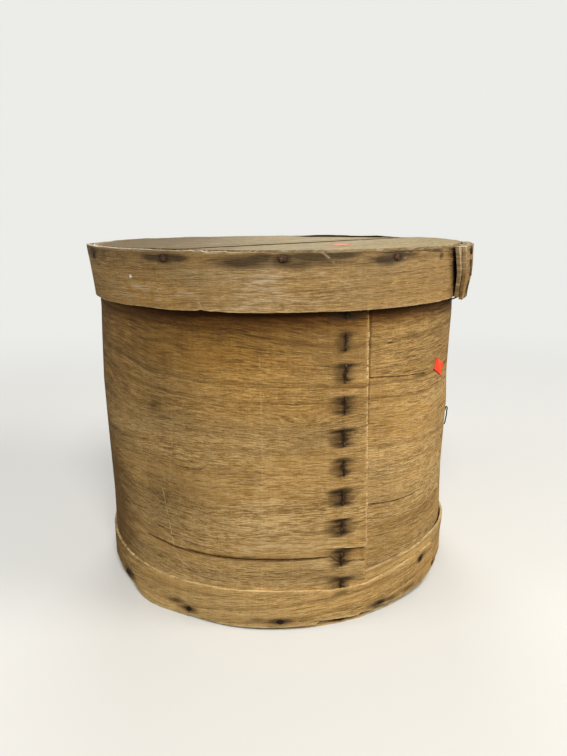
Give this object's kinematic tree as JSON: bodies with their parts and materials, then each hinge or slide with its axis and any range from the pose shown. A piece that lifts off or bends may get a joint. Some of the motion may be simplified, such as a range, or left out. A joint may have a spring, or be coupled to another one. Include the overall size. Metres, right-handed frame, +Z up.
{
  "type": "bentwood box",
  "caption": "Round bentwood storage box: a lapped and stapled veneer side on nailed bottom boards with a foot hoop, and a loose lift-off lid with a deep rim.",
  "frame": {"origin": "middle of the base on the surface it stands on, on the axis of the round side", "axes": "+Z up; -Y the front, where the side's seam shows; +X to the right seen from the front"},
  "size_m": [0.3122, 0.3078, 0.2691],
  "materials": {
    "side_veneer": "aged golden-brown veneer, dry and unvarnished",
    "foot_veneer": "aged brown veneer, worn pale along its lower edge",
    "hoop_veneer": "greyish tan veneer, handled and dry",
    "lid_wood": "pale weathered softwood board",
    "bottom_wood": "bare softwood board",
    "rusty_wire": "rusted steel wire",
    "rusty_nails": "rusted nail heads",
    "label_paper": "blank fluorescent orange-red label"
  },
  "bodies": {
    "box": {"side_sheet": "side_veneer", "foot_hoop": "foot_veneer", "bottom_board_wide": "bottom_wood", "bottom_board_narrow": "bottom_wood", "seam_staples": "rusty_wire", "foot_hoop_staples": "rusty_wire", "loose_staple": "rusty_wire", "foot_nails": "rusty_nails", "side_label": "label_paper"},
    "lid": {"lid_board_wide": "lid_wood", "lid_board_narrow": "lid_wood", "lid_hoop": "hoop_veneer", "lid_lap_strip": "hoop_veneer", "lid_lap_staples": "rusty_wire", "lid_nails": "rusty_nails", "lid_label": "label_paper"}
  },
  "joints": [
    {"name": "lid_lift", "type": "slide", "parent": "box", "child": "lid", "axis": [0, 0, 1], "range_m": [0, 0.2]}
  ]
}
